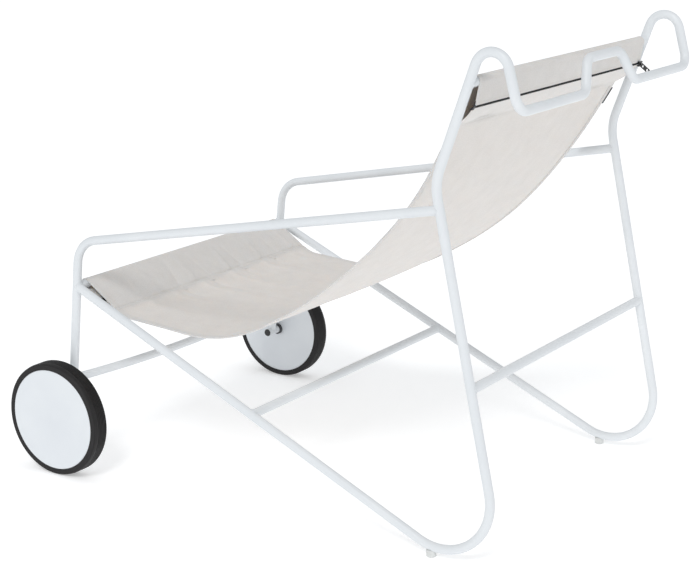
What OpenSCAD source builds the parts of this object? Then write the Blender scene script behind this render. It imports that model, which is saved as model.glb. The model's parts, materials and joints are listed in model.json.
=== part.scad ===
// Wheeled garden lounger: a welded round-tube frame on two wheels and two feet,
// with a fabric sling held by a zipped pocket round a bar at each end.
// X runs across, with +X on the sitter's left. The foot end faces -Y and the handle end +Y.
// The origin is on the floor, in the middle of the whole lounger.

/* [Frame tube] */
// Outside diameter of every tube in the frame
tube_d = 18; // [15:0.5:22]
// Distance between the centre lines of the two side frames
frame_width = 700; // [560:5:860]

/* [Front post and arm] */
// Backward lean of the front post from upright, in degrees
post_lean = 6.6; // [2:0.2:10]
// Height of the corner where the post and arm centre lines cross
arm_front_z = 488; // [455:1:560]
// Rise of the arm towards the back, in degrees
arm_rise = 10.6; // [7:0.2:12]
// Centre-line radius of the bend between post and arm
arm_bend_r = 60; // [40:1:80]

/* [Diagonal and rear leg] */
// Centre-line radius of the bend that rests on the feet
rear_bend_r = 105; // [85:1:126]
// Distance of that bend's centre behind the wheels' axis
rear_bend_y = 890; // [760:5:1040]
// Slope of the diagonal tube, in degrees
diagonal_slope = 24.2; // [22:0.2:26]
// Forward lean of the rear leg from upright, in degrees
leg_lean = 11.5; // [8:0.2:14]
// Gap between the floor and the underside of the rear bend
floor_gap = 10; // [8:0.5:14]
// Height of the corner where the leg turns back into the upright
kink_z = 693; // [680:1:720]
// Centre-line radius of the bend at that corner
kink_bend_r = 100; // [70:1:110]
// Backward lean of the upright, in degrees
upright_lean = 20.6; // [16:0.2:24]

/* [Handle] */
// Height of the top of the loops, which is the overall height
overall_height = 933; // [920:1:1080]
// Centre-line radius of the loops' crowns
crown_r = 33; // [27:1:40]
// Backward slope of the handle below the crowns, in degrees
handle_slope = 14.5; // [10:0.5:18]
// Length from a crown's end down to the corner of the lower run
handle_drop = 75; // [62:1:90]
// Half the gap in the lower run, between the corners of the raised middle
notch_foot_x = 101; // [85:1:120]
// Half the length of the raised middle, between its upper corners
notch_top_x = 68; // [56:1:76]
// Height of the raised middle above the lower run
notch_rise = 60; // [50:1:72]
// Centre-line radius of the handle's bends
handle_bend_r = 27; // [22:1:30]

/* [Cross tubes] */
// Height of the front cross tube's centre
front_cross_z = 194; // [165:1:230]
// How far the front cross tube bows backwards at its middle
front_cross_bow = 36; // [25:1:50]
// Distance of the middle stretcher behind the wheels' axis
mid_stretcher_y = 470; // [400:5:560]
// Height of the rear stretcher's centre
rear_stretcher_z = 332; // [280:1:400]
// Height of the top sling bar's centre
top_bar_z = 870; // [850:1:880]

/* [Sling] */
// Width of the sling
sling_width = 650; // [510:5:800]
// Thickness of the sling cloth
cloth_t = 1.4; // [1:0.1:2]
// Distance of the seat's front fold behind the front bar
seat_fold_y = 108; // [95:1:130]
// Drop of the seat's front fold below the front bar
seat_fold_drop = 57; // [48:1:68]
// Distance of the seat's lowest corner behind the front bar
seat_low_y = 361; // [300:1:420]
// Drop of that corner below the front bar
seat_low_drop = 75; // [70:1:84]
// Distance of the lower back's corner in front of the top bar
back_corner_y = 212; // [180:1:240]
// Drop of that corner below the top bar
back_corner_drop = 355; // [300:1:380]
// Length of the pocket round each bar, from the bar to the seam
pocket_length = 92; // [80:1:105]
// Distance from the top bar down to its zip
zip_drop = 43; // [38:1:50]

/* [Zips] */
// Length of each zip
zip_length = 664; // [530:2:800]
// Width of the row of teeth
teeth_w = 5; // [4:0.5:6]
// Length of the pull tab
pull_length = 36; // [26:1:40]

/* [Wheels] */
// Outside diameter of the tyre
tyre_d = 238; // [198:2:286]
// Width of the tyre
tyre_w = 37; // [31:0.5:44]
// Radial thickness of the tyre
tyre_t = 13; // [11:0.5:16]
// Gap between a side frame's centre line and the wheel's inner face
wheel_offset = 25.5; // [22:0.5:30]
// Diameter of the axle pin
axle_d = 10; // [8:0.5:12]
// Length of the sleeve under each post
sleeve_length = 37; // [31:1:42]
// Thickness of the plate that covers the wheel's outer face
cover_t = 3; // [2:0.5:5]

/* [Feet] */
// Diameter of each foot
foot_d = 19; // [16:0.5:24]
// Distance of the feet in front of the rear bend's lowest point
foot_forward = 16; // [10:1:24]

/* [Hidden] */
// Smoothness of round shapes
$fn = 96;
// Radius of a tube
r = tube_d / 2;
// Running clearance round the axle pin
running = 0.05;
// Gap between loose pieces
gap = 0.3;
// How far a straight run laps into a bend, and how much thinner the bend is
lap = 0.5;
hair = 0.08;
// Half the distance between the side frames
side_x = frame_width / 2;
// Height of the wheels' axis
axle_z = tyre_d / 2;
// Outer face of the wheel
wheel_out = side_x + wheel_offset + tyre_w;

// Below, Y is counted from the wheels' axis, and whole() moves it to the middle.

// Front post and arm, as [Y, Z]
post_top = [(arm_front_z - axle_z) * tan(post_lean), arm_front_z];

// Rear bend's centre, and the ends of the bend, as [Y, Z]
bend_c = [rear_bend_y, floor_gap + r + rear_bend_r];
bend_a = bend_c - rear_bend_r * [sin(diagonal_slope), cos(diagonal_slope)];
bend_b = bend_c + rear_bend_r * [cos(leg_lean), sin(leg_lean)];
// Corner where the diagonal and leg centre lines cross
bend_corner = meet(bend_a, -diagonal_slope, bend_b, 90 + leg_lean);
// Joint of the diagonal and the post
front_joint = meet([0, axle_z], 90 - post_lean, bend_a, -diagonal_slope);
// Corner where the leg turns back
kink = bend_b + (kink_z - bend_b.y) * [-tan(leg_lean), 1];
// Joint of the arm and the leg
arm_joint = meet(post_top, arm_rise, bend_b, 90 + leg_lean);
// Crown's centre and its two ends
crown_z = overall_height - r - crown_r;
crown_c = [kink.x + (crown_z - kink.y) * tan(upright_lean) + crown_r / cos(upright_lean), crown_z];
crown_a = crown_c + crown_r * [-cos(upright_lean), sin(upright_lean)];
crown_b = crown_c + crown_r * [cos(handle_slope), sin(handle_slope)];
// Corner of the handle's lower run
handle_foot = crown_b + handle_drop * [sin(handle_slope), -cos(handle_slope)];
// Top sling bar's centre
top_bar = [kink.x + (top_bar_z - kink.y) * tan(upright_lean), top_bar_z];
// Middle and rear stretchers' centres
mid_bar = [mid_stretcher_y, front_joint.y - (mid_stretcher_y - front_joint.x) * tan(diagonal_slope)];
rear_bar = [bend_b.x - (rear_stretcher_z - bend_b.y) * tan(leg_lean), rear_stretcher_z];
// Front cross tube's end and the radius of its bow
cross_end = [(front_cross_z - axle_z) * tan(post_lean), front_cross_z];
cross_r = (side_x * side_x + front_cross_bow * front_cross_bow) / (2 * front_cross_bow);
// Middle of the whole lounger, between the tyres' front and the handle or rear bends
mid_y = (max(handle_foot.x, rear_bend_y + rear_bend_r) + r - axle_z) / 2;
// Feet
foot_y = rear_bend_y - foot_forward;
foot_top = bend_c.y - sqrt(rear_bend_r * rear_bend_r - foot_forward * foot_forward);

// Sling's corners, from the front bar to the top bar
seat_fold = front_joint + [seat_fold_y, -seat_fold_drop];
seat_low = front_joint + [seat_low_y, -seat_low_drop];
back_corner = top_bar - [back_corner_y, back_corner_drop];
sling_path = [front_joint, seat_fold, seat_low, back_corner, top_bar];
sling_radii = [0, 60, 360, 940, 0];
// Inside radius of the pockets
pocket_r = r + gap;
// Back ply of the top pocket
top_zip = top_bar + [0, -zip_drop];
top_dir = unit(back_corner - top_bar);
top_seam = top_bar + pocket_length * top_dir;
// Under ply of the front pocket
front_dir = unit(seat_fold - front_joint);
front_seam = front_joint + pocket_length * front_dir;
front_zip = front_joint + 0.5 * pocket_length * front_dir + [-5, -10];
// Backward slope of the back ply, and slope of the under ply, in degrees
top_tilt = atan((pocket_r + cloth_t / 2) / zip_drop);
front_tilt = atan2(front_seam.y - front_zip.y, front_seam.x - front_zip.x);
// Zip's teeth and slider
teeth_t = 2.4;
slider_l = 12;
slider_h = teeth_w + 5;
slider_t = teeth_t + 2.2;
rest_x = zip_length / 2 - slider_l / 2;
pull_t = 1.2;
pull_w = 9;
pull_lift = 24;
pin_d = 2;
pull_droop = 34;
// Wheel's pieces
spacer_t = wheel_offset - sleeve_length / 2;
rim_r = axle_z - tyre_t;
hub_r = 17;

// Unit vector along v
function unit(v) = v / norm(v);
// Direction of v, in degrees
function direction(v) = atan2(v.y, v.x);
// Point where the line through a at angle u meets the line through b at angle v
function meet(a, u, b, v) =
  let (d = [cos(u), sin(u)], e = [cos(v), sin(v)], w = b - a, k = d.x * e.y - d.y * e.x)
  a + d * ((w.x * e.y - w.y * e.x) / k);
// Turn at a path's corner i, in degrees, positive anticlockwise
function turn(p, i) =
  let (t = direction(p[i + 1] - p[i]) - direction(p[i] - p[i - 1]))
  t > 180 ? t - 360 : t < -180 ? t + 360 : t;
// Length a bend takes from each side of corner i
function trim(p, q, i) = i == 0 || i == len(p) - 1 ? 0 : q[i] * tan(abs(turn(p, i)) / 2);

// A straight run of a path, given as the child's section, lapped into the bends beside it
module run(p, q, i) {
  d = unit(p[i + 1] - p[i]);
  from = p[i] + d * (trim(p, q, i) - (i == 0 ? 0 : lap));
  to = p[i + 1] - d * (trim(p, q, i + 1) - (i == len(p) - 2 ? 0 : lap));
  translate(from) rotate([0, 0, direction(d)]) rotate([90, 0, 90])
    linear_extrude(norm(to - from)) children();
}

// The bend at a path's corner i, given as the child's section
module bend(p, q, i) {
  t = turn(p, i);
  s = t > 0 ? 1 : -1;
  a = direction(p[i] - p[i - 1]);
  centre = p[i] - trim(p, q, i) * [cos(a), sin(a)] + q[i] * s * [-sin(a), cos(a)];
  translate(centre) rotate([0, 0, a - 90 * s + (t > 0 ? 0 : t)])
    rotate_extrude(angle = abs(t)) translate([q[i], 0]) children();
}

// A round tube along a path, with the bends a hair thinner so that the pieces join cleanly
module tube(p, q) {
  for (i = [0 : len(p) - 2]) run(p, q, i) circle(r);
  for (i = [1 : 1 : len(p) - 2]) bend(p, q, i) circle(r - hair);
}

// Points along a path with its corners rounded, each with the path's direction there
function rounded(p, q) = [
  [p[0], direction(p[1] - p[0])],
  for (i = [1 : 1 : len(p) - 2])
    let (t = turn(p, i), s = t > 0 ? 1 : -1, a = direction(p[i] - p[i - 1]),
      centre = p[i] - trim(p, q, i) * [cos(a), sin(a)] + q[i] * s * [-sin(a), cos(a)],
      steps = max(2, ceil(abs(t) / 3)))
      for (k = [0 : steps])
        let (b = a + t * k / steps) [centre - q[i] * s * [-sin(b), cos(b)], b],
  [p[len(p) - 1], direction(p[len(p) - 1] - p[len(p) - 2])]
];

// A sheet that follows a path, t thick and w wide
module sheet(p, q, t, w) {
  line = rounded(p, q);
  linear_extrude(w, center = true) polygon([
    for (l = line) l[0] + t / 2 * [-sin(l[1]), cos(l[1])],
    for (i = [len(line) - 1 : -1 : 0]) line[i][0] - t / 2 * [-sin(line[i][1]), cos(line[i][1])]
  ]);
}

// Moves the finished pieces so that the origin is in the middle.
module whole() {
  translate([0, -mid_y, 0]) children();
}

// Stands a drawing in the YZ plane at distance x.
module upright_plane(x) {
  translate([x, 0, 0]) rotate([90, 0, 90]) children();
}

// A straight round bar across the frame at [Y, Z], from x = a to x = b
module cross_bar(at, a, b, d) {
  translate([a, at.x, at.y]) rotate([0, 90, 0]) cylinder(h = b - a, d = d);
}

// A round bar in the YZ plane at distance x, used to fit one tube's end to another
module cutter(x, a, b) {
  upright_plane(x) tube([a - 60 * unit(b - a), b + 60 * unit(b - a)], [0, 0]);
}

module side_tube(s) {
  color("white") difference() {
    upright_plane(s * side_x)
      tube([front_joint, bend_corner, kink, crown_a], [0, rear_bend_r, kink_bend_r, 0]);
    cutter(s * side_x, [0, axle_z], post_top);
  }
}
module side_tube_left() { side_tube(1); }
module side_tube_right() { side_tube(-1); }

module arm_tube(s) {
  color("white") difference() {
    upright_plane(s * side_x) tube([[0, axle_z], post_top, arm_joint], [0, arm_bend_r, 0]);
    cross_bar([0, axle_z], s * side_x - 40, s * side_x + 40, tube_d);
    cutter(s * side_x, bend_b, arm_joint);
  }
}
module arm_tube_left() { arm_tube(1); }
module arm_tube_right() { arm_tube(-1); }

// One tube: two loops, the lower runs and the raised middle
module handle_rail() {
  color("white") {
    translate([0, handle_foot.x, handle_foot.y]) rotate([90 + handle_slope, 0, 0]) tube(
      [[side_x, handle_drop + lap], [side_x, 0], [notch_foot_x, 0], [notch_top_x, notch_rise],
       [-notch_top_x, notch_rise], [-notch_foot_x, 0], [-side_x, 0], [-side_x, handle_drop + lap]],
      [0, handle_bend_r, handle_bend_r, handle_bend_r, handle_bend_r, handle_bend_r,
       handle_bend_r, 0]);
    for (s = [-1, 1]) upright_plane(s * side_x) translate(crown_c) rotate([0, 0, handle_slope])
      rotate_extrude(angle = 180 - upright_lean - handle_slope) translate([crown_r, 0])
        circle(r - hair);
  }
}

// A straight bar between the side frames, with its ends fitted to the tubes from a to b
module fitted_bar(at, a, b) {
  color("white") difference() {
    cross_bar(at, -side_x, side_x, tube_d);
    for (s = [-1, 1]) cutter(s * side_x, a, b);
  }
}
module top_sling_bar() { fitted_bar(top_bar, kink + (top_bar - kink) * 0.5, crown_a); }
module front_sling_bar() {
  difference() {
    fitted_bar(front_joint, [0, axle_z], post_top);
    for (s = [-1, 1]) upright_plane(s * side_x) tube([front_joint, bend_a], [0, 0]);
  }
}
module middle_stretcher() { fitted_bar(mid_bar, front_joint, bend_a); }
module rear_stretcher() { fitted_bar(rear_bar, bend_b, arm_joint); }

// Bowed backwards between the posts, and just thin enough for its ends to meet them all round
module front_cross_tube() {
  half = asin((side_x - 0.5) / cross_r);
  color("white") difference() {
    translate([0, cross_end.x + front_cross_bow - cross_r, cross_end.y]) rotate([0, 0, 90 - half])
      rotate_extrude(angle = 2 * half, $fn = 720) translate([cross_r, 0])
        circle(r - 0.2, $fn = 96);
    for (s = [-1, 1]) cutter(s * side_x, [0, axle_z], post_top);
  }
}

// Short sleeve under the post that holds the axle pin
module axle_sleeve(s) {
  color("white") difference() {
    cross_bar([0, axle_z], s * side_x - sleeve_length / 2, s * side_x + sleeve_length / 2, tube_d);
    cross_bar([0, axle_z], s * side_x - sleeve_length, s * side_x + sleeve_length, axle_d);
  }
}
module axle_sleeve_left() { axle_sleeve(1); }
module axle_sleeve_right() { axle_sleeve(-1); }

// Black cap in the sleeve's inner end
module sleeve_plug(s) {
  color("black") translate([s * (side_x - sleeve_length / 2), 0, axle_z]) rotate([0, s * 90, 0]) {
    translate([0, 0, -2]) cylinder(h = 2, d1 = tube_d - 3, d2 = tube_d - 0.6);
    cylinder(h = 8, d = axle_d);
  }
}
module sleeve_plug_left() { sleeve_plug(1); }
module sleeve_plug_right() { sleeve_plug(-1); }

// Fixed pin with a head that the cover hides
module axle_pin(s) {
  inner = side_x - sleeve_length / 2 + 10;
  head = wheel_out - cover_t - 5;
  color("silver") translate([s * inner, 0, axle_z]) rotate([0, s * 90, 0]) {
    cylinder(h = head - inner, d = axle_d);
    translate([0, 0, head - inner]) cylinder(h = 3, d = axle_d + 6);
  }
}
module axle_pin_left() { axle_pin(1); }
module axle_pin_right() { axle_pin(-1); }

// Dark washer between the sleeve and the wheel
module wheel_spacer(s) {
  color("dimgray") difference() {
    translate([s * (side_x + sleeve_length / 2), 0, axle_z]) rotate([0, s * 90, 0])
      cylinder(h = spacer_t - gap, d = 25);
    cross_bar([0, axle_z], s * side_x - 60, s * side_x + 60, axle_d);
  }
}
module wheel_spacer_left() { wheel_spacer(1); }
module wheel_spacer_right() { wheel_spacer(-1); }

// Turns a wheel's profile, drawn as [radius, distance out from the inner face], about its axis.
module wheel_turn(s) {
  translate([s * (side_x + wheel_offset), 0, axle_z]) rotate([0, s * 90, 0])
    rotate_extrude() children();
}

// Moulded rim with a closed inner face, a hub round the pin and an open outer side
module wheel_rim(s) {
  hub_w = tyre_w - cover_t - 5 - gap;
  color("white") wheel_turn(s) {
    bore = axle_d / 2 + running;
    face = 3;
    translate([bore, 0]) square([hub_r - bore, hub_w]);
    translate([hub_r, 1]) square([rim_r - 4 - hub_r, face]);
    translate([rim_r - 4, 1]) square([4, tyre_w - cover_t - 1]);
  }
}
module wheel_rim_left() { wheel_rim(1); }
module wheel_rim_right() { wheel_rim(-1); }

// Plain plate that closes the outer face and hides the pin
module wheel_cover(s) {
  color("white") wheel_turn(s) polygon([
    [0, tyre_w - cover_t], [rim_r, tyre_w - cover_t],
    [rim_r, tyre_w - 1], [rim_r - 1, tyre_w], [0, tyre_w]]);
}
module wheel_cover_left() { wheel_cover(1); }
module wheel_cover_right() { wheel_cover(-1); }

// Tyre with grooves round the tread and a bevel at each shoulder
module tyre(s) {
  rib = (tyre_w - 13) / 6;
  color("dimgray") wheel_turn(s) difference() {
    polygon([
      [rim_r, 0], [axle_z - 3, 0], [axle_z - 1, 1.5], [axle_z, 4],
      [axle_z, tyre_w - 7], [axle_z - 1, tyre_w - 2], [axle_z - 3, tyre_w], [rim_r, tyre_w]]);
    for (i = [0 : 5]) translate([axle_z - 1.2, 5.5 + i * rib - 0.7]) square([3, 1.4]);
  }
}
module tyre_left() { tyre(1); }
module tyre_right() { tyre(-1); }

// Round foot under the rear bend, with its top shaped to the tube
module foot(s) {
  color("white") difference() {
    translate([s * side_x, foot_y, 0]) {
      cylinder(h = 1.5, d1 = foot_d - 3, d2 = foot_d);
      translate([0, 0, 1.5]) cylinder(h = foot_top - 0.7 * r - 1.5, d = foot_d);
    }
    upright_plane(s * side_x) translate(bend_c) rotate([0, 0, -90 - diagonal_slope])
      rotate_extrude(angle = 90) translate([rear_bend_r, 0]) circle(r);
  }
}
module foot_left() { foot(1); }
module foot_right() { foot(-1); }

// Seat and back in one, with a pocket round each bar
module sling() {
  color("antiquewhite") upright_plane(0) difference() {
    union() {
      sheet(sling_path, sling_radii, cloth_t, sling_width);
      sheet([top_bar + [pocket_r + cloth_t / 2 - hair, 0], top_zip, top_seam], [0, 8, 0],
        cloth_t, sling_width);
      sheet([front_joint - [1, pocket_r + cloth_t / 2 - hair], front_zip, front_seam], [0, 6, 0],
        cloth_t, sling_width);
      for (c = [top_bar, front_joint]) translate(c)
        cylinder(h = sling_width, r = pocket_r + cloth_t, center = true);
    }
    for (c = [top_bar, front_joint]) translate(c)
      cylinder(h = 2 * sling_width, r = pocket_r, center = true);
  }
}

// Blank black tab sewn into the sling's right edge
module edge_tab() {
  at = top_bar + (pocket_length + 18) * top_dir;
  color("black") upright_plane(-sling_width / 2 - 5) translate(at)
    rotate([0, 0, direction(top_dir)]) translate([0, -0.5, 0]) cube([38, 1, 4.9]);
}

// Puts a drawing on the top zip: +Z runs up the pocket's back ply and +Y away from it.
module on_top_zip() {
  at = top_zip + cloth_t / 2 * [cos(top_tilt), -sin(top_tilt)];
  translate([0, at.x, at.y]) rotate([-top_tilt, 0, 0]) children();
}

// Puts a drawing on the front zip: +Y faces away from the pocket's under ply.
module on_front_zip() {
  at = front_zip + cloth_t / 2 * [sin(front_tilt), -cos(front_tilt)];
  translate([0, at.x, at.y]) rotate([front_tilt - 90, 0, 0]) children();
}

// Row of teeth along X
module zip_teeth() {
  color("black") translate([-zip_length / 2, 0, -teeth_w / 2]) cube([zip_length, teeth_t, teeth_w]);
}
module top_zip_teeth() { on_top_zip() zip_teeth(); }
module front_zip_teeth() { on_front_zip() zip_teeth(); }

// Slider that straddles the teeth, with a pin for the pull along +Y
module zip_slider() {
  color("black") {
    difference() {
      translate([-slider_l / 2, gap, -slider_h / 2]) cube([slider_l, slider_t, slider_h]);
      translate([-slider_l, 0, -teeth_w / 2 - gap])
        cube([2 * slider_l, teeth_t + gap, teeth_w + 2 * gap]);
    }
    translate([0, gap + slider_t, 0]) rotate([-90, 0, 0]) {
      cylinder(h = pull_t + 2 * gap, d = pin_d);
      translate([0, 0, pull_t + 2 * gap]) cylinder(h = 0.8, d = pin_d + 2);
    }
  }
}
module top_zip_slider() { on_top_zip() translate([-rest_x, 0, 0]) zip_slider(); }
module front_zip_slider() { on_front_zip() translate([-rest_x, 0, 0]) zip_slider(); }

// Pull with an eye on the slider's pin and a lifted tab with two openings, pointing along -X
module zip_pull() {
  tab = pull_length - pull_w;
  color("black") translate([0, 2 * gap + slider_t, 0]) rotate([-90, 0, 0]) {
    difference() {
      cylinder(h = pull_t, d = pin_d + 4);
      translate([0, 0, -1]) cylinder(h = pull_t + 2, d = pin_d + 0.1);
    }
    translate([-pin_d / 2 - 1, 0, 0]) rotate([0, pull_lift, 0]) difference() {
      linear_extrude(pull_t) {
        translate([-tab, -pull_w / 2]) square([tab - 1, pull_w]);
        translate([-2, -pull_w / 5]) square([2, 2 * pull_w / 5]);
        translate([-tab, 0]) circle(d = pull_w);
      }
      translate([-0.25 * tab, 0, -1]) cylinder(h = pull_t + 2, d = pull_w * 0.55);
      translate([-0.8 * tab, 0, -1]) cylinder(h = pull_t + 2, d = pull_w * 0.6);
    }
  }
}
module top_zip_pull() {
  on_top_zip() translate([-rest_x, 0, 0]) rotate([0, -pull_droop, 0]) zip_pull();
}
module front_zip_pull() { on_front_zip() translate([-rest_x, 0, 0]) zip_pull(); }

whole() side_tube_left();
whole() side_tube_right();
whole() arm_tube_left();
whole() arm_tube_right();
whole() handle_rail();
whole() top_sling_bar();
whole() front_sling_bar();
whole() front_cross_tube();
whole() middle_stretcher();
whole() rear_stretcher();
whole() axle_sleeve_left();
whole() axle_sleeve_right();
whole() sleeve_plug_left();
whole() sleeve_plug_right();
whole() axle_pin_left();
whole() axle_pin_right();
whole() wheel_spacer_left();
whole() wheel_spacer_right();
whole() wheel_rim_left();
whole() wheel_rim_right();
whole() wheel_cover_left();
whole() wheel_cover_right();
whole() tyre_left();
whole() tyre_right();
whole() foot_left();
whole() foot_right();
whole() sling();
whole() edge_tab();
whole() top_zip_teeth();
whole() front_zip_teeth();
whole() top_zip_slider();
whole() front_zip_slider();
whole() top_zip_pull();
whole() front_zip_pull();
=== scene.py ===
# Garden lounger: the looks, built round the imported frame
import json
import math
import bpy
import numpy as np
from mathutils import Matrix, Vector


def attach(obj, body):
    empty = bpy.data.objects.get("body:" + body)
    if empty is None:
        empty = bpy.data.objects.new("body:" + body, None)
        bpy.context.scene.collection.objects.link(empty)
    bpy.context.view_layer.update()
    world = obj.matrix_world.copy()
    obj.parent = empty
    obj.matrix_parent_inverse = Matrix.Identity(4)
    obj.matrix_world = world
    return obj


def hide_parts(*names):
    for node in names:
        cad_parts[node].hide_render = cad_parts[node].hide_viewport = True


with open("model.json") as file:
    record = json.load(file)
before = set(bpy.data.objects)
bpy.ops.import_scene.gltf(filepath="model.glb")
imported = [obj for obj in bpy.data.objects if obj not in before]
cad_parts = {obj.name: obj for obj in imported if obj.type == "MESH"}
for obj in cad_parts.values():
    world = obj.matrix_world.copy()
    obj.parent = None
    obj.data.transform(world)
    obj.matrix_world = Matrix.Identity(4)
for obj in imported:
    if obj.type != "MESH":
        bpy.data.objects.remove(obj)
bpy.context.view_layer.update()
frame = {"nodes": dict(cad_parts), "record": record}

nodes = frame["nodes"]
print("frame loaded:", len(nodes), "nodes")


def deselectAll():
    if bpy.context.object and bpy.context.object.mode != "OBJECT":
        bpy.ops.object.mode_set(mode="OBJECT")
    bpy.ops.object.select_all(action="DESELECT")


def makeActive(obj):
    deselectAll()
    obj.select_set(True)
    bpy.context.view_layer.objects.active = obj
    return obj


def applyModifiers(obj):
    makeActive(obj)
    for modifier in list(obj.modifiers):
        bpy.ops.object.modifier_apply(modifier=modifier.name)


def settle(obj, name):
    # place and scale go into the mesh, as in a CAD node
    makeActive(obj)
    bpy.ops.object.transform_apply(location=True, rotation=True, scale=True)
    obj.name = name
    obj.data.name = name
    return obj


def giveMaterial(obj, material):
    obj.data.materials.clear()
    obj.data.materials.append(material)


def finishPiece(obj, material, body):
    giveMaterial(obj, material)
    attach(obj, body)
    return obj


def smoothByAngle(obj, degrees=35):
    makeActive(obj)
    bpy.ops.object.shade_smooth_by_angle(angle=math.radians(degrees))


class MaterialMaker:
    # a Principled material and short ways to add nodes to it
    def __init__(self, name, colour, roughness):
        self.material = bpy.data.materials.new(name)
        self.material.use_nodes = True
        self.tree = self.material.node_tree
        self.shader = next(n for n in self.tree.nodes if n.type == "BSDF_PRINCIPLED")
        self.set("Base Color", (*colour, 1))
        self.set("Roughness", roughness)

    def set(self, socket, value):
        self.shader.inputs[socket].default_value = value

    def node(self, kind, **values):
        made = self.tree.nodes.new(kind)
        for key, value in values.items():
            if key in made.inputs:
                made.inputs[key].default_value = value
            else:
                setattr(made, key, value)
        return made

    def link(self, a, b):
        self.tree.links.new(a, b)

    def place(self, kind="Object", scale=(1, 1, 1), turn=(0, 0, 0)):
        coordinate = self.node("ShaderNodeTexCoord")
        mapping = self.node("ShaderNodeMapping")
        mapping.inputs["Scale"].default_value = scale
        mapping.inputs["Rotation"].default_value = turn
        self.link(coordinate.outputs[kind], mapping.inputs["Vector"])
        return mapping.outputs["Vector"]

    def noise(self, vector, scale, detail=3.0, roughness=0.55):
        made = self.node("ShaderNodeTexNoise", Scale=scale, Detail=detail, Roughness=roughness)
        self.link(vector, made.inputs["Vector"])
        return made.outputs["Fac"]

    def maths(self, operation, a, b=0.0):
        made = self.node("ShaderNodeMath", operation=operation)
        for socket, value in zip(made.inputs, (a, b)):
            if isinstance(value, (int, float)):
                socket.default_value = value
            else:
                self.link(value, socket)
        return made.outputs[0]

    def spread(self, value, low, high, fromLow=0.3, fromHigh=0.7):
        made = self.node("ShaderNodeMapRange")
        made.inputs["From Min"].default_value = fromLow
        made.inputs["From Max"].default_value = fromHigh
        made.inputs["To Min"].default_value = low
        made.inputs["To Max"].default_value = high
        self.link(value, made.inputs["Value"])
        return made.outputs["Result"]

    def blendColours(self, factor, a, b):
        made = self.node("ShaderNodeMix", data_type="RGBA")
        made.inputs[6].default_value = (*a, 1) if not hasattr(a, "links") else (0, 0, 0, 1)
        made.inputs[7].default_value = (*b, 1) if not hasattr(b, "links") else (0, 0, 0, 1)
        if hasattr(a, "links"):
            self.link(a, made.inputs[6])
        if hasattr(b, "links"):
            self.link(b, made.inputs[7])
        self.link(factor, made.inputs[0])
        return made.outputs[2]

    def bump(self, height, strength, distance, under=None):
        made = self.node("ShaderNodeBump", Strength=strength, Distance=distance)
        self.link(height, made.inputs["Height"])
        if under is not None:
            self.link(under, made.inputs["Normal"])
        return made.outputs["Normal"]

    def feed(self, socket, output):
        self.link(output, self.shader.inputs[socket])


powderCoatLook = {"white": (0.77, 0.795, 0.815), "shade": (0.72, 0.75, 0.775), "roughness": (0.36, 0.46)}


def makePowderCoat():
    m = MaterialMaker("powderCoat", powderCoatLook["white"], 0.4)
    at = m.place()
    cloudy = m.noise(at, 9.0, 4.0)
    clouds = m.spread(cloudy, 0.0, 1.0)
    m.feed("Base Color", m.blendColours(clouds, powderCoatLook["white"], powderCoatLook["shade"]))
    m.feed("Roughness", m.spread(m.noise(at, 60.0), *powderCoatLook["roughness"]))
    orangePeel = m.noise(at, 620.0, 2.0)
    grains = m.noise(at, 2600.0, 1.0)
    m.feed("Normal", m.bump(grains, 0.10, 0.00003, m.bump(orangePeel, 0.16, 0.0001)))
    m.set("Coat Weight", 0.10)
    m.set("Coat Roughness", 0.35)
    return m.material


clothLook = {"light": (0.778, 0.748, 0.722), "dark": (0.664, 0.634, 0.606),
             "yarn": 0.00074, "roughness": 0.92,
             "glow": 0.42, "glowDepth": 0.0030}


def makeSlingCloth(name, light, dark):
    # plain weave on the piece's own UV map, which is in metres along and across the cloth
    m = MaterialMaker(name, light, clothLook["roughness"])
    coordinate = m.node("ShaderNodeTexCoord")
    parts = m.node("ShaderNodeSeparateXYZ")
    m.link(coordinate.outputs["UV"], parts.inputs[0])
    turnsPerMetre = 2 * math.pi / (2 * clothLook["yarn"])
    across = m.maths("SINE", m.maths("MULTIPLY", parts.outputs["X"], turnsPerMetre))
    along = m.maths("SINE", m.maths("MULTIPLY", parts.outputs["Y"], turnsPerMetre))
    weave = m.maths("MULTIPLY", across, along)
    weft = m.noise(m.place("UV", (60, 1300, 1)), 1.0, 2.0)
    warp = m.noise(m.place("UV", (1300, 60, 1)), 1.0, 2.0)
    slubs = m.maths("MULTIPLY", m.maths("ADD", weft, warp), 0.5)
    mottle = m.noise(m.place("UV"), 26.0, 5.0, 0.62)
    speckle = m.noise(m.place("UV"), 430.0, 2.0)
    patches = m.maths("ADD", m.maths("MULTIPLY", mottle, 0.25), m.maths("MULTIPLY", speckle, 0.35))
    tone = m.maths("ADD", m.maths("MULTIPLY", slubs, 0.4), patches)
    m.feed("Base Color", m.blendColours(m.spread(tone, 0.0, 1.0, 0.36, 0.64), light, dark))
    soft = m.bump(mottle, 0.20, 0.0012)
    threads = m.bump(slubs, 0.35, 0.0002, soft)
    m.feed("Normal", m.bump(weave, 0.30, 0.00016, threads))
    m.set("Subsurface Weight", clothLook["glow"])
    m.set("Subsurface Radius", (1.0, 0.84, 0.70))
    m.set("Subsurface Scale", clothLook["glowDepth"])
    m.set("Sheen Weight", 0.12)
    m.set("Sheen Roughness", 0.5)
    m.set("Specular IOR Level", 0.25)
    return m.material


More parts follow.
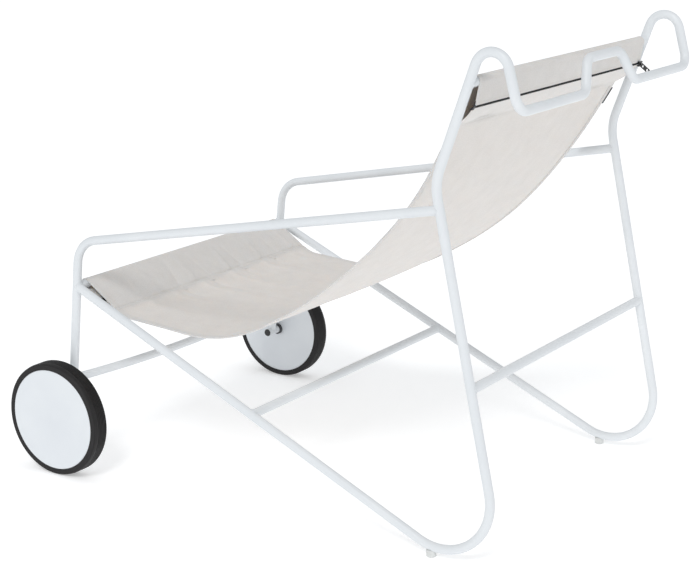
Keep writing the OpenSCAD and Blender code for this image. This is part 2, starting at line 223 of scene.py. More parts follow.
def makeTyreRubber():
    m = MaterialMaker("tyreRubber", (0.009, 0.008, 0.009), 0.7)
    at = m.place()
    dust = m.noise(at, 34.0, 5.0, 0.6)
    black, dusty = (0.006, 0.005, 0.006), (0.014, 0.013, 0.013)
    m.feed("Base Color", m.blendColours(m.spread(dust, 0.0, 1.0), black, dusty))
    m.feed("Roughness", m.spread(dust, 0.50, 0.66))
    m.feed("Normal", m.bump(m.noise(at, 1500.0, 2.0), 0.25, 0.00008))
    m.set("Specular IOR Level", 0.36)
    return m.material


def makeWheelPlastic():
    m = MaterialMaker("wheelPlastic", (0.74, 0.77, 0.80), 0.38)
    at = m.place()
    flow = m.noise(at, 7.0, 3.0)
    m.feed("Base Color", m.blendColours(m.spread(flow, 0.0, 1.0), (0.755, 0.785, 0.81), (0.70, 0.73, 0.765)))
    m.feed("Roughness", m.spread(m.noise(at, 90.0), 0.33, 0.44))
    sink = m.bump(m.noise(at, 22.0, 1.0), 0.12, 0.0006)
    m.feed("Normal", m.bump(m.noise(at, 1100.0, 2.0), 0.10, 0.00005, sink))
    return m.material


def makePlainPlastic(name, colour, shade, roughness, grain):
    m = MaterialMaker(name, colour, roughness)
    at = m.place()
    m.feed("Base Color", m.blendColours(m.spread(m.noise(at, 130.0, 4.0), 0.0, 1.0), colour, shade))
    m.feed("Roughness", m.spread(m.noise(at, 300.0), roughness - 0.06, roughness + 0.08))
    m.feed("Normal", m.bump(m.noise(at, grain, 2.0), 0.2, 0.00006))
    return m.material


def makePinSteel():
    m = MaterialMaker("pinSteel", (0.55, 0.55, 0.57), 0.32)
    m.set("Metallic", 1.0)
    lines = m.noise(m.place(scale=(40, 900, 900)), 1.0, 3.0)
    m.feed("Base Color", m.blendColours(m.spread(lines, 0.0, 1.0), (0.60, 0.60, 0.62), (0.46, 0.46, 0.48)))
    m.feed("Roughness", m.spread(lines, 0.24, 0.42))
    m.feed("Normal", m.bump(lines, 0.15, 0.00005))
    return m.material


def makeTape(name, colour, shade):
    # fine twill tape, on the UV map in metres
    m = MaterialMaker(name, colour, 0.85)
    at = m.place("UV", (1, 1, 1), (0, 0, math.radians(38)))
    parts = m.node("ShaderNodeSeparateXYZ")
    m.link(at, parts.inputs[0])
    twill = m.maths("SINE", m.maths("MULTIPLY", parts.outputs["X"], 2 * math.pi / 0.0007))
    m.feed("Base Color", m.blendColours(m.spread(twill, 0.0, 1.0, -1.0, 1.0), colour, shade))
    m.feed("Normal", m.bump(twill, 0.3, 0.0001))
    m.set("Sheen Weight", 0.1)
    return m.material


powderCoat = makePowderCoat()
slingCloth = makeSlingCloth("slingCloth", clothLook["light"], clothLook["dark"])
tyreRubber = makeTyreRubber()
wheelPlastic = makeWheelPlastic()
plugPlastic = makePlainPlastic("plugPlastic", (0.014, 0.014, 0.015), (0.026, 0.026, 0.027), 0.45, 900.0)
spacerPlastic = makePlainPlastic("spacerPlastic", (0.035, 0.037, 0.042), (0.06, 0.062, 0.066), 0.5, 700.0)
footPlastic = makePlainPlastic("footPlastic", (0.72, 0.73, 0.72), (0.62, 0.63, 0.62), 0.5, 800.0)
zipNylon = makePlainPlastic("zipNylon", (0.006, 0.006, 0.007), (0.014, 0.014, 0.015), 0.42, 1600.0)
zipLacquer = makePlainPlastic("zipLacquer", (0.010, 0.010, 0.011), (0.02, 0.02, 0.022), 0.28, 1200.0)
zipTapeCloth = makeTape("zipTapeCloth", (0.012, 0.012, 0.013), (0.03, 0.03, 0.032))
tabCloth = makeTape("tabCloth", (0.012, 0.012, 0.013), (0.026, 0.026, 0.028))
threadCotton = makePlainPlastic("threadCotton", (0.70, 0.675, 0.63), (0.60, 0.575, 0.53), 0.8, 2500.0)
pinSteel = makePinSteel()

slotLooks = {
    "white_tube": powderCoat, "black_plug": plugPlastic, "steel_pin": pinSteel,
    "dark_spacer": spacerPlastic, "white_wheel": wheelPlastic, "tyre_rubber": tyreRubber,
    "white_foot": footPlastic, "sling_cloth": slingCloth, "tab_cloth": tabCloth,
    "zip_teeth": zipNylon, "zip_metal": zipLacquer,
}
for part in frame["record"]["subparts"]:
    giveMaterial(nodes[part["node"]], slotLooks[part["material_slot"]])
print("materials made")


# all in metres, as [y, z]; the same corners and radii as the CAD sling
slingShape = {
    "frontBar": (-0.434015, 0.394538),
    "seatFold": (-0.326015, 0.337538),
    "seatLow": (-0.073015, 0.319538),
    "backCorner": (0.270021, 0.515),
    "topBar": (0.482021, 0.870),
    "radii": (0.060, 0.360, 0.940),
    "seamDistance": 0.092,
    "wrapRadius": 0.0100,
    "frontZip": (-0.398335, 0.363073),
    "topZip": (0.482021, 0.827),
    "thickness": 0.0012,
    "halfWidth": 0.3255,
    "flatWidth": 0.690,
}


def roundedPath(corners, radii, step=3.0):
    # the corners joined by straight runs and true arcs
    pts = [np.array(c, float) for c in corners]
    out = [pts[0]]
    for before, here, after, radius in zip(pts[:-2], pts[1:-1], pts[2:], radii):
        d1 = (here - before) / np.linalg.norm(here - before)
        d2 = (after - here) / np.linalg.norm(after - here)
        turn = math.atan2(d1[0] * d2[1] - d1[1] * d2[0], d1 @ d2)
        side = 1 if turn > 0 else -1
        start = here - d1 * radius * math.tan(abs(turn) / 2)
        centre = start + side * radius * np.array([-d1[1], d1[0]])
        steps = max(2, math.ceil(math.degrees(abs(turn)) / step))
        for k in range(steps + 1):
            a = math.atan2(d1[1], d1[0]) + turn * k / steps
            out.append(centre - side * radius * np.array([-math.sin(a), math.cos(a)]))
    out.append(pts[-1])
    return np.array(out)


def lengthsAlong(line):
    return np.concatenate([[0], np.cumsum(np.linalg.norm(np.diff(line, axis=0), axis=1))])


def pointAt(line, lengths, s):
    return np.array([np.interp(s, lengths, line[:, 0]), np.interp(s, lengths, line[:, 1])]).T


def wrapAngle(centre, radius, point, side):
    d = np.array(point) - np.array(centre)
    return math.atan2(d[1], d[0]) + side * math.acos(radius / np.linalg.norm(d))


def arcPoints(centre, radius, a, b, count):
    angles = np.linspace(a, b, count)
    return np.array(centre) + radius * np.stack([np.cos(angles), np.sin(angles)], 1)


shape = slingShape
coreCorners = [shape[k] for k in ("frontBar", "seatFold", "seatLow", "backCorner", "topBar")]
core = roundedPath(coreCorners, shape["radii"], 1.5)
coreLengths = lengthsAlong(core)
frontSeam = pointAt(core, coreLengths, shape["seamDistance"])
topSeam = pointAt(core, coreLengths, coreLengths[-1] - shape["seamDistance"])
seamPlaces = (shape["seamDistance"], coreLengths[-1] - shape["seamDistance"])
middleRun = pointAt(core, coreLengths, np.linspace(*seamPlaces, 260))
wrap = shape["wrapRadius"]
frontIn = wrapAngle(shape["frontBar"], wrap, frontSeam, 1)
frontOut = wrapAngle(shape["frontBar"], wrap, shape["frontZip"], -1) + 2 * math.pi
topIn = wrapAngle(shape["topBar"], wrap, topSeam, -1) + 2 * math.pi
topOut = wrapAngle(shape["topBar"], wrap, shape["topZip"], 1)
frontZip, topZip = np.array(shape["frontZip"]), np.array(shape["topZip"])
frontWrap = arcPoints(shape["frontBar"], wrap, frontOut, frontIn, 16)
topWrap = arcPoints(shape["topBar"], wrap, topIn, topOut, 14)
zipGap = 0.0022  # from the zip's middle to each cloth edge


def towards(a, b, distance):
    return a + (b - a) / np.linalg.norm(b - a) * distance


mainLine = np.vstack([
    towards(frontZip, frontWrap[0], zipGap), frontWrap,
    middleRun,
    topWrap, towards(topZip, topWrap[-1], zipGap)])
mainLengths = lengthsAlong(mainLine)
frontSeamAt = mainLengths[1 + len(frontWrap)]
topSeamAt = mainLengths[len(frontWrap) + len(middleRun)]
mainLength = mainLengths[-1]
print("sling ply length %.3f m, seams at %.3f and %.3f" % (mainLength, frontSeamAt, topSeamAt))

rng = np.random.default_rng(7)
creases = {
    "front": [  # place across, drift, width, height, on the bar side of the front seam
        (-0.285, 0.10, 0.012, 0.0016), (-0.232, -0.15, 0.016, -0.0013), (-0.165, 0.2, 0.013, 0.0015),
        (-0.098, -0.1, 0.012, -0.0014), (-0.050, 0.15, 0.010, 0.0016), (0.012, -0.2, 0.014, -0.0015),
        (0.066, 0.1, 0.012, 0.0014), (0.118, 0.25, 0.015, -0.0016), (0.176, -0.1, 0.016, 0.0012),
        (0.248, 0.2, 0.020, -0.0010)],
    "seat": [  # place across, drift, width, height, how far they run behind the front seam
        (-0.262, 0.25, 0.012, 0.0016, 0.10), (-0.205, 0.12, 0.010, -0.0013, 0.06),
        (-0.160, 0.30, 0.014, 0.0018, 0.13), (-0.096, 0.05, 0.011, -0.0013, 0.05),
        (-0.044, 0.28, 0.013, 0.0019, 0.14), (0.020, 0.20, 0.012, -0.0014, 0.08),
        (0.058, 0.32, 0.014, 0.0018, 0.11), (0.112, 0.10, 0.010, -0.0012, 0.05),
        (0.150, 0.25, 0.013, 0.0014, 0.09),
        (0.232, 0.2, 0.016, 0.0011, 0.06)],
    "back": [  # place across, place along from the top seam, turn, length, width, height
        (-0.12, -0.26, 0.6, 0.10, 0.020, 0.0014), (0.02, -0.33, -0.5, 0.12, 0.024, -0.0013),
        (-0.20, -0.40, 0.8, 0.09, 0.018, 0.0012), (0.15, -0.20, -0.7, 0.11, 0.022, 0.0011),
        (-0.05, -0.47, 0.4, 0.14, 0.028, -0.0013), (0.10, -0.52, -0.3, 0.13, 0.026, 0.0012)],
}
ripplePhases = rng.uniform(0, 6.28, 6)
frontDepth, seatDepth = 3.0, 2.7  # how much deeper than listed the folds are pressed


def puckers(x, distance):
    # gathers along a sewn line, and the line's own groove
    ripple = np.sin(2 * math.pi * x / 0.013 + ripplePhases[0] + 1.4 * np.sin(x * 41 + ripplePhases[1]))
    fine = 0.00030 * ripple * np.exp(-np.abs(distance) / 0.007)
    return fine - 0.0009 * np.exp(-(distance / 0.0022) ** 2)


def ridge(distance, width):
    # a fold line: steep close to its crest and soft further out
    return np.exp(-(np.sqrt(distance ** 2 + (0.12 * width) ** 2) - 0.12 * width) / (0.62 * width))


def clothHeight(x, s):
    # how far the cloth stands off its plain line, towards the sitter
    a, b = s - frontSeamAt, s - topSeamAt
    out = puckers(x, a) + puckers(x, b)
    towardsBar = np.clip(1 + a / 0.085, 0, 1)
    held = 1 - np.exp(-(a / 0.006) ** 2)
    for place, drift, width, height in creases["front"]:
        fold = ridge(x - place - drift * a, width)
        out += np.where(a < 0, frontDepth * height * held * towardsBar ** 0.8 * fold, 0)
    for place, drift, width, height, run in creases["seat"]:
        fade = np.exp(-(np.clip(a, 0, 9) / run) ** 1.6)
        grow = 1 + np.clip(a, 0, 9) * 6
        fold = ridge(x - place + drift * a, width * grow)
        out += np.where(a >= 0, seatDepth * height * held * fade * fold, 0)
    for place, along, turn, length, width, height in creases["back"]:
        du, dv = x - place, b - along
        p, q = du * math.cos(turn) + dv * math.sin(turn), -du * math.sin(turn) + dv * math.cos(turn)
        out += height * np.exp(-(p / width) ** 2 - (q / length) ** 2)
    open_ = np.clip(np.minimum(a, -b) / 0.12, 0, 1)
    waves = np.sin(x * 11 + s * 3.1 + ripplePhases[2]) + 0.7 * np.sin(s * 9.5 - x * 6 + ripplePhases[3])
    sag = -0.004 * (1 - (x / 0.33) ** 2)
    return out + open_ * (0.0010 * waves + sag)


def mainHalfWidth(s):
    b = topSeamAt - s
    waist = 0.0185 * np.exp(-((b - 0.20) / 0.155) ** 2)
    flare = 0.004 * np.exp(-((s - topSeamAt - 0.12) / 0.05) ** 2)
    return shape["halfWidth"] - waist + flare


def rowsAlong(length, spacing, marks, fineAt=()):
    # even rows, with closer ones beside each sewn line
    extra = [m + d for m in marks for d in (-0.006, -0.0035, -0.002, -0.001, 0, 0.001, 0.002, 0.0035, 0.006)]
    even = np.linspace(0, length, max(2, int(length / spacing)) + 1)
    even = np.array([s for s in even if all(abs(s - m) > 0.0085 for m in marks)])
    close = [e for e in extra if 0 <= e <= length]
    rows = np.unique(np.round(np.concatenate([even, close, [0, length], fineAt]), 6))
    keep = [rows[0]]
    for r in rows[1:]:
        if r - keep[-1] > 0.0006:
            keep.append(r)
    keep[-1] = length
    return np.array(keep)


def layCloth(name, rows, columns, place, uvOffset=(0.0, 0.0)):
    # a flat grid, its points then laid where place(across, along) says
    deselectAll()
    bpy.ops.mesh.primitive_grid_add(
        x_subdivisions=columns, y_subdivisions=len(rows) - 1, size=2, location=(0, 0, 0))
    obj = bpy.context.object
    co = np.zeros(len(obj.data.vertices) * 3)
    obj.data.vertices.foreach_get("co", co)
    co = co.reshape(-1, 3)
    levels = np.unique(np.round(co[:, 1], 5))
    if len(levels) == len(rows):
        along = rows[np.searchsorted(levels, np.round(co[:, 1], 5) - 1e-6)]
    else:
        along = np.interp(co[:, 1], np.linspace(-1, 1, len(rows)), rows)
    where = place(co[:, 0], along)
    obj.data.vertices.foreach_set("co", where.astype(np.float32).ravel())
    uv = obj.data.uv_layers.active or obj.data.uv_layers.new(name="UVMap")
    loops = np.zeros(len(obj.data.loops), int)
    obj.data.loops.foreach_get("vertex_index", loops)
    flat = np.stack([where[:, 0] + uvOffset[0], along + uvOffset[1]], 1)
    uv.data.foreach_set("uv", flat[loops].astype(np.float32).ravel())
    obj.data.update()
    obj.name = name
    obj.data.name = name
    return obj


def lineFrame(line, lengths, s):
    # point and unit normal of a line at s; the normal is on the left of its direction
    p = pointAt(line, lengths, s)
    h = 0.0015
    after, before = np.clip(s + h, 0, lengths[-1]), np.clip(s - h, 0, lengths[-1])
    d = pointAt(line, lengths, after) - pointAt(line, lengths, before)
    d /= np.linalg.norm(d, axis=-1, keepdims=True)
    return p, np.stack([-d[..., 1], d[..., 0]], -1)


def onMain(x, s, lift=0.0):
    p, n = lineFrame(mainLine, mainLengths, s)
    p = p + n * (clothHeight(x, s) + lift)[..., None]
    return np.stack([x, p[..., 0], p[..., 1]], -1)


def thicken(obj, thickness, offset=0.0):
    solid = obj.modifiers.new("cloth", "SOLIDIFY")
    solid.thickness = thickness
    solid.offset = offset
    solid.use_even_offset = False
    applyModifiers(obj)
    smoothByAngle(obj, 50)


# main ply: front zip, round the front bar, seat, back, over the top bar, top zip
def placeMain(u, s):
    return onMain(u * mainHalfWidth(s), s)


wrapRows = [*mainLengths[1:1 + len(frontWrap)], *mainLengths[len(frontWrap) + len(middleRun):-1]]
mainRows = rowsAlong(mainLength, 0.0090, [frontSeamAt, topSeamAt], wrapRows)
slingSheet = layCloth("slingSheet", mainRows, 200, placeMain)
print("main ply grid:", len(mainRows), "rows")
thicken(slingSheet, shape["thickness"])
finishPiece(slingSheet, slingCloth, "frame")
print("main ply laid")

# lower plies of the two pockets, from each zip to its seam
pocketShape = {"topDrop": 0.0015, "frontDrop": 0.002, "tuck": 0.010}


def pocketLine(zipPoint, seamPoint, seamDirection, droop, side):
    start = towards(zipPoint, seamPoint, zipGap)
    end = np.array(seamPoint) + side * 0.0014 * np.array([-seamDirection[1], seamDirection[0]])
    t = np.linspace(0, 1, 26)[:, None]
    across = np.array([-(end - start)[1], (end - start)[0]]) / np.linalg.norm(end - start)
    bow = droop * np.sin(math.pi * np.clip(t * 1.05, 0, 1)) * across
    return np.vstack([start + (end - start) * t + bow, end + seamDirection * pocketShape["tuck"]])


def directionAt(line, lengths, s):
    d = pointAt(line, lengths, s + 0.002) - pointAt(line, lengths, s - 0.002)
    return d / np.linalg.norm(d)


frontDirection = directionAt(mainLine, mainLengths, frontSeamAt + 0.004)
topDirection = directionAt(mainLine, mainLengths, topSeamAt - 0.004)
frontPly = pocketLine(frontZip, frontSeam, frontDirection, -pocketShape["frontDrop"], -1)
topPly = pocketLine(topZip, topSeam, -topDirection, pocketShape["topDrop"], 1)
frontPlyLengths, topPlyLengths = lengthsAlong(frontPly), lengthsAlong(topPly)


def placeTopPly(u, s):
    share = s / topPlyLengths[-1]
    half = 0.3325 - 0.0130 * (1 - (1 - share) ** 2.2)
    x = u * half
    p, n = lineFrame(topPly, topPlyLengths, s)
    swell = 0.0022 * np.sin(math.pi * share) * (np.sin(x * 17 + 1.1) + 0.6 * np.sin(x * 41 + 2.0))
    p = p + n * (swell + puckers(x, s - topPlyLengths[-2]) * 0.7)[:, None]
    return np.stack([x, p[:, 0], p[:, 1]], 1)


def placeFrontPly(u, s):
    share = s / frontPlyLengths[-1]
    x = u * (shape["halfWidth"] + 0.002)
    p, n = lineFrame(frontPly, frontPlyLengths, s)
    swell = 0.0016 * np.sin(math.pi * share) * np.sin(x * 23 + 0.4)
    p = p + n * (swell + puckers(x, s - frontPlyLengths[-2]) * 0.7)[:, None]
    return np.stack([x, p[:, 0], p[:, 1]], 1)


topPlySheet = layCloth("topPocketPly", rowsAlong(topPlyLengths[-1], 0.006, []), 90, placeTopPly, (0.2, 2.0))
thicken(topPlySheet, shape["thickness"])
finishPiece(topPlySheet, slingCloth, "frame")
frontPlyRows = rowsAlong(frontPlyLengths[-1], 0.006, [])
frontPlySheet = layCloth("frontPocketPly", frontPlyRows, 90, placeFrontPly, (0.2, 3.0))
thicken(frontPlySheet, shape["thickness"])
finishPiece(frontPlySheet, slingCloth, "frame")
print("pocket plies laid")

# folded hems under both side edges
hemShape = {"width": 0.013, "stitchInset": 0.0110, "roll": 0.0013}
for side in (1, -1):
    def placeHem(u, s, side=side):
        half = mainHalfWidth(s)
        x = side * (half - 0.0004 - (u + 1) / 2 * hemShape["width"])
        return onMain(x, s, -shape["thickness"] * 0.98)
    sharedRows = mainRows[(mainRows > frontSeamAt - 0.09) & (mainRows < topSeamAt + 0.09)]
    hemRows = rowsAlong(mainLength, 0.0075, [], list(sharedRows))
    hem = layCloth("hemLeft" if side > 0 else "hemRight", hemRows, 4, placeHem, (0.4, 0.0))
    if side > 0:
        hem.data.flip_normals()
    thicken(hem, shape["thickness"])
    finishPiece(hem, slingCloth, "frame")

    def placeRoll(u, s, side=side):
        turn = u * math.pi / 2
        across = mainHalfWidth(s) - 0.0004 + hemShape["roll"] * np.cos(turn)
        drop = hemShape["roll"] * np.sin(turn) - 0.0006
        p, n = lineFrame(mainLine, mainLengths, s)
        p = p + n * (clothHeight(side * mainHalfWidth(s), s) + drop)[:, None]
        return np.stack([side * across, p[:, 0], p[:, 1]], 1)
    roll = layCloth("rollLeft" if side > 0 else "rollRight", mainRows, 6, placeRoll, (0.8, 0.0))
    thicken(roll, 0.0005)
    finishPiece(roll, slingCloth, "frame")
print("hems folded")

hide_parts("sling")


stitchShape = {"pitch": 0.0034, "length": 0.0026, "width": 0.00075}


def copiesOf(template, frames, name):
    # one mesh that holds a copy of the template at each frame (4x4)
    base = np.array([v.co for v in template.data.vertices])
    faces = [tuple(p.vertices) for p in template.data.polygons]
    frames = np.array(frames)
    points = np.einsum("nij,vj->nvi", frames[:, :3, :3], base) + frames[:, None, :3, 3]
    allFaces = [tuple(i + k * len(base) for i in f) for k in range(len(frames)) for f in faces]
    mesh = bpy.data.meshes.new(name)
    mesh.from_pydata(points.reshape(-1, 3).tolist(), [], allFaces)
    mesh.update()
    obj = bpy.data.objects.new(name, mesh)
    bpy.context.scene.collection.objects.link(obj)
    return obj


def frameOf(origin, along, up):
    x = along / np.linalg.norm(along)
    z = up - x * (up @ x)
    z /= np.linalg.norm(z)
    m = np.eye(4)
    m[:3, 0], m[:3, 1], m[:3, 2], m[:3, 3] = x, np.cross(z, x), z, origin
    return m


def stitchTemplate():
    deselectAll()
    bpy.ops.mesh.primitive_uv_sphere_add(
        segments=6, ring_count=4, radius=0.5, location=(0, 0, 0), rotation=(0, math.pi / 2, 0))
    obj = bpy.context.object
    bpy.ops.object.transform_apply(rotation=True)
    obj.scale = (stitchShape["length"], stitchShape["width"], stitchShape["width"] * 0.8)
    bpy.ops.object.transform_apply(scale=True)
    return obj


def stitchesOn(surface, path, lift):
    # surface(x, s) gives the cloth; path is a list of (x, s) the thread follows
    path = np.array(path, float)
    ends = surface(path[:, 0], path[:, 1])
    lengths = np.concatenate([[0], np.cumsum(np.linalg.norm(np.diff(ends, axis=0), axis=1))])
    places = np.arange(stitchShape["pitch"] / 2, lengths[-1], stitchShape["pitch"])
    x, s = np.interp(places, lengths, path[:, 0]), np.interp(places, lengths, path[:, 1])
    e = 0.0012
    here = surface(x, s)
    du = surface(x + e, s) - surface(x - e, s)
    dv = surface(x, s + e) - surface(x, s - e)
    normal = np.cross(du, dv)
    normal /= np.linalg.norm(normal, axis=1, keepdims=True)
    dx, ds = np.gradient(x), np.gradient(s)
    along = du * dx[:, None] + dv * ds[:, None]
    return [frameOf(h + n * lift, a, n) for h, n, a in zip(here, normal, along)]


def mainSurface(x, s):
    return onMain(x, s)


template = stitchTemplate()
halfCloth = shape["thickness"] / 2
threads = []
wide = np.linspace(-0.3235, 0.3235, 200)
for seamAt in (frontSeamAt, topSeamAt):
    for lift in (halfCloth, -halfCloth - 0.0012):
        for shift in (-0.0035, 0.0035):
            threads += stitchesOn(mainSurface, [(x, seamAt + shift) for x in wide], lift)
for side in (1, -1):
    hemPlaces = np.linspace(0.004, mainLength - 0.004, 420)
    hemPath = [(side * (mainHalfWidth(s) - hemShape["stitchInset"]), s) for s in hemPlaces]
    for lift in (halfCloth, -halfCloth - 0.0012):
        threads += stitchesOn(mainSurface, hemPath, lift)
for s in (0.0045, mainLength - 0.0045):
    threads += stitchesOn(mainSurface, [(x, s) for x in wide], halfCloth)
stitches = copiesOf(template, threads, "stitches")
bpy.data.objects.remove(template)
smoothByAngle(stitches, 180)
finishPiece(stitches, threadCotton, "frame")
print("stitches sewn:", len(threads))


zipShape = {"length": 0.664, "tapeWidth": 0.020,
            "toothPitch": 0.0020, "toothWidth": 0.0026, "toothDepth": 0.0020, "toothLift": 0.0007,
            "stop": (0.0080, 0.0090, 0.0034), "tapeInset": 0.0012}


def unit(v):
    return np.array(v, float) / np.linalg.norm(v)


def zipFrame(zipPoint, upperPoint, lowerPoint):
    # directions of the two plies at a zip, and the way the zip faces
    upper, lower = unit(np.array(upperPoint) - zipPoint), unit(np.array(lowerPoint) - zipPoint)
    return upper, lower, -unit(upper + lower)


def toothTemplate():
    deselectAll()
    bpy.ops.mesh.primitive_cube_add(size=1, location=(0, 0, 0))
    tooth = bpy.context.object
    tooth.scale = (zipShape["toothPitch"] * 0.62, zipShape["toothWidth"], zipShape["toothDepth"])
    bpy.ops.object.transform_apply(scale=True)
    edge = tooth.modifiers.new("edge", "BEVEL")
    edge.width = 0.00035
    edge.segments = 1
    applyModifiers(tooth)
    return tooth


def makeZip(name, zipPoint, plies):
    upper, lower, out = plies
    across3, out3 = np.array([0, *unit(upper - lower)]), np.array([0, *out])
    tooth = toothTemplate()
    count = int(zipShape["length"] / zipShape["toothPitch"])
    base = np.array([0, *zipPoint]) + out3 * zipShape["toothLift"]
    frames = []
    for k in range(count):
        x = (k + 0.5) * zipShape["toothPitch"] - zipShape["length"] / 2
        side = 1 if k % 2 else -1
        origin = base + np.array([x, 0, 0]) + across3 * side * 0.0009
        frames.append(frameOf(origin, np.array([1.0, 0, 0]), out3))
    teeth = copiesOf(tooth, frames, name + "Teeth")
    bpy.data.objects.remove(tooth)
    finishPiece(teeth, zipNylon, "frame")
    for side in (1, -1):
        deselectAll()
        bpy.ops.mesh.primitive_cube_add(size=1, location=(0, 0, 0))
        stop = bpy.context.object
        stop.scale = zipShape["stop"]
        bpy.ops.object.transform_apply(scale=True)
        soften = stop.modifiers.new("edge", "BEVEL")
        soften.width = 0.0009
        soften.segments = 3
        applyModifiers(stop)
        place = base + np.array([side * (zipShape["length"] / 2 + 0.0046), 0, 0])
        stop.matrix_world = Matrix(frameOf(place, np.array([1.0, 0, 0]), out3).tolist())
        settle(stop, name + ("StopLeft" if side > 0 else "StopRight"))
        smoothByAngle(stop, 40)
        finishPiece(stop, zipNylon, "frame")
    # the tape folds with the cloth, just inside it
    half = math.acos(float(np.clip(-upper @ lower, -1, 1))) / 2
    ridge = np.array([0, *zipPoint]) - out3 * zipShape["tapeInset"] / math.cos(half)
    rows = np.linspace(-zipShape["tapeWidth"] / 2, zipShape["tapeWidth"] / 2, 13)

    def placeTape(u, s):
        s = s - zipShape["tapeWidth"] / 2
        way = np.where(s[:, None] > 0, np.array([0, *upper]), np.array([0, *lower]))
        return ridge + u[:, None] * np.array([zipShape["length"] / 2, 0, 0]) + np.abs(s)[:, None] * way
    tape = layCloth(name + "Tape", rows - rows[0], 60, placeTape)
    thicken(tape, 0.0005)
    finishPiece(tape, zipTapeCloth, "frame")
    return teeth


topTeeth = makeZip("topZip", topZip, zipFrame(topZip, topWrap[-1], topPly[4]))
frontTeeth = makeZip("frontZip", frontZip, zipFrame(frontZip, frontWrap[0], frontPly[4]))
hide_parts("top_zip_teeth")
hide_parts("front_zip_teeth")
print("zips made")


# blank tab caught in the right hem, below the top seam
tabShape = {"start": 0.0176, "length": 0.0385, "out": 0.0074, "inside": 0.008,
            "thickness": 0.0011, "curl": 0.0012}


def placeTab(u, s):
    along = topSeamAt - tabShape["start"] - s
    half = mainHalfWidth(along)
    beyond = tabShape["out"] + (u - 1) / 2 * (tabShape["out"] + tabShape["inside"])
    curl = tabShape["curl"] * np.clip(beyond / tabShape["out"], 0, 1)
    return onMain(-(half + beyond), along, -0.0007 - curl)


edgeTab = layCloth("edgeTab", np.linspace(0, tabShape["length"], 9), 8, placeTab)
thicken(edgeTab, tabShape["thickness"])
smoothByAngle(edgeTab, 40)
finishPiece(edgeTab, tabCloth, "frame")
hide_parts("edge_tab")

tubeRadius = 0.009
beadShape = {"radius": 0.0017, "ripple": 0.07, "ripples": 26}


def weldBead(name, centre, along, through, throughRadius=tubeRadius, endRadius=tubeRadius):
    # a ring where a tube that runs along meets the side of the tube that runs through
    a, b = Vector(along).normalized(), Vector(through).normalized()
    e1 = a.cross(b).normalized()
    e2 = e1.cross(a).normalized()
    deselectAll()
    bpy.ops.mesh.primitive_torus_add(
        major_segments=56, minor_segments=8, major_radius=endRadius,
        minor_radius=beadShape["radius"], location=(0, 0, 0))
    ring = bpy.context.object
    for v in ring.data.vertices:
        phi = math.atan2(v.co.y, v.co.x)
        psi = math.atan2(v.co.z, math.hypot(v.co.x, v.co.y) - endRadius)
        spoke = e1 * math.cos(phi) + e2 * math.sin(phi)
        rim = spoke * endRadius
        # how far back along the tube its skin meets the other tube's skin
        p, d = rim - b * rim.dot(b), a - b * a.dot(b)
        qa, qb, qc = d.dot(d), -2 * p.dot(d), p.dot(p) - throughRadius ** 2
        root = max(qb * qb - 4 * qa * qc, 0) ** 0.5
        back = (-qb + root) / (2 * qa)
        size = beadShape["radius"] * (1 + beadShape["ripple"] * math.sin(beadShape["ripples"] * phi))
        swell = spoke * (size * math.cos(psi) - 0.0004) + a * (size * math.sin(psi))
        v.co = Vector(centre) + rim - a * (back + 0.0003) + swell
    ring.name = name
    ring.data.name = name
    makeActive(ring)
    bpy.ops.object.mode_set(mode="EDIT")
    bpy.ops.mesh.select_all(action="SELECT")
    bpy.ops.mesh.normals_make_consistent(inside=False)
    bpy.ops.object.mode_set(mode="OBJECT")
    smoothByAngle(ring, 60)
    return finishPiece(ring, powderCoat, "frame")


halfGauge = 0.350
joints2d = {  # [y, z] of each joint, direction of the tube that runs through
    "topBar": ((0.482021, 0.870), (math.sin(math.radians(20.6)), math.cos(math.radians(20.6)))),
    "frontBar": ((-0.434015, 0.394538), (math.sin(math.radians(6.6)), math.cos(math.radians(6.6)))),
    "middleStretcher": ((0.004104, 0.197639), (math.cos(math.radians(24.2)), -math.sin(math.radians(24.2)))),
    "rearStretcher": ((0.488937, 0.332), (-math.sin(math.radians(11.5)), math.cos(math.radians(11.5)))),
    "frontCross": ((-0.457218, 0.194), (math.sin(math.radians(6.6)), math.cos(math.radians(6.6)))),
}
beadCount = 0
for side, word in ((1, "Left"), (-1, "Right")):
    for jointName, (place, through) in joints2d.items():
        along = (side, 0, 0)
        if jointName == "frontCross":
            along = (side, -math.tan(math.radians(11.75)), 0)
        beadName = "weld" + jointName[0].upper() + jointName[1:] + word
        weldBead(beadName, (side * halfGauge, *place), along, (0, *through))
        beadCount += 1
    lean, slope, rise, legLean = (math.radians(d) for d in (6.6, 24.2, 10.6, 11.5))
    x = side * halfGauge
    postUp, legUp = (0, math.sin(lean), math.cos(lean)), (0, -math.sin(legLean), math.cos(legLean))
    weldBead("weldDiagonal" + word, (x, -0.434015, 0.394538), (0, -math.cos(slope), math.sin(slope)), postUp)
    weldBead("weldArm" + word, (x, 0.424907, 0.646719), (0, math.cos(rise), math.sin(rise)), legUp)
    weldBead("weldSleeve" + word, (x, -0.465896, 0.119), (0, -math.sin(lean), -math.cos(lean)), (1, 0, 0))
    beadCount += 3
print("weld beads:", beadCount)


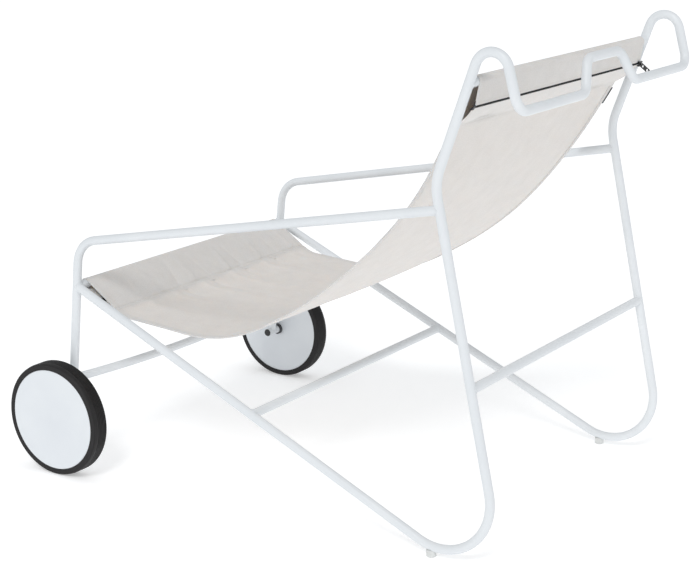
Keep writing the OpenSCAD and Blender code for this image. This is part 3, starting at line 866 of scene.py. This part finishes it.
stageLook = {"floor": (0.86, 0.865, 0.87), "floorGlow": 0.36, "world": 0.63, "key": 1.0, "keySpread": 18}
deselectAll()
bpy.ops.mesh.primitive_plane_add(size=80, location=(0, 0, -0.0002))
floor = bpy.context.object
floor.name = "floor"
m = MaterialMaker("floorPaper", stageLook["floor"], 0.85)
paper = m.noise(m.place(), 0.6, 2.0)
m.feed("Base Color", m.blendColours(m.spread(paper, 0.0, 1.0), stageLook["floor"], (0.885, 0.89, 0.895)))
m.set("Specular IOR Level", 0.1)
m.set("Emission Color", (1, 1, 1, 1))
m.set("Emission Strength", stageLook["floorGlow"])
giveMaterial(floor, m.material)

world = bpy.data.worlds.new("studio")
bpy.context.scene.world = world
world.use_nodes = True
background = next(n for n in world.node_tree.nodes if n.type == "BACKGROUND")
background.inputs["Color"].default_value = (0.97, 0.985, 1.0, 1)
background.inputs["Strength"].default_value = stageLook["world"]


deselectAll()
bpy.ops.object.light_add(type="SUN", location=(3, -2, 3))
key = bpy.context.object
key.name = "key"
key.data.energy = stageLook["key"]
key.data.angle = math.radians(stageLook["keySpread"])
key.rotation_mode = "QUATERNION"
key.rotation_quaternion = Vector((-0.66, -0.26, -0.70)).to_track_quat("-Z", "Y")

# camera
eye = {"place": (2.760495, 1.866290, 1.255282), "lens": 1666.96 / 700 * 36,
       "right": (-0.55713541, 0.83032356, -0.01276425), "up": (-0.21717105, -0.13084841, 0.96732385),
       "forward": (-0.8015216, -0.5417024, -0.25322252)}
camData = bpy.data.cameras.new("camera")
cam = bpy.data.objects.new("camera", camData)
bpy.context.scene.collection.objects.link(cam)
camData.sensor_width = 36
camData.lens = eye["lens"]
camData.dof.use_dof = False
camData.clip_start, camData.clip_end = 0.05, 200
right, up, forward = Vector(eye["right"]), Vector(eye["up"]), Vector(eye["forward"])
turned = Matrix((right, up, -forward)).transposed().to_4x4()
cam.matrix_world = Matrix.Translation(eye["place"]) @ turned
bpy.context.scene.camera = cam
bpy.context.scene.view_settings.view_transform = "Standard"
print("stage and camera set")
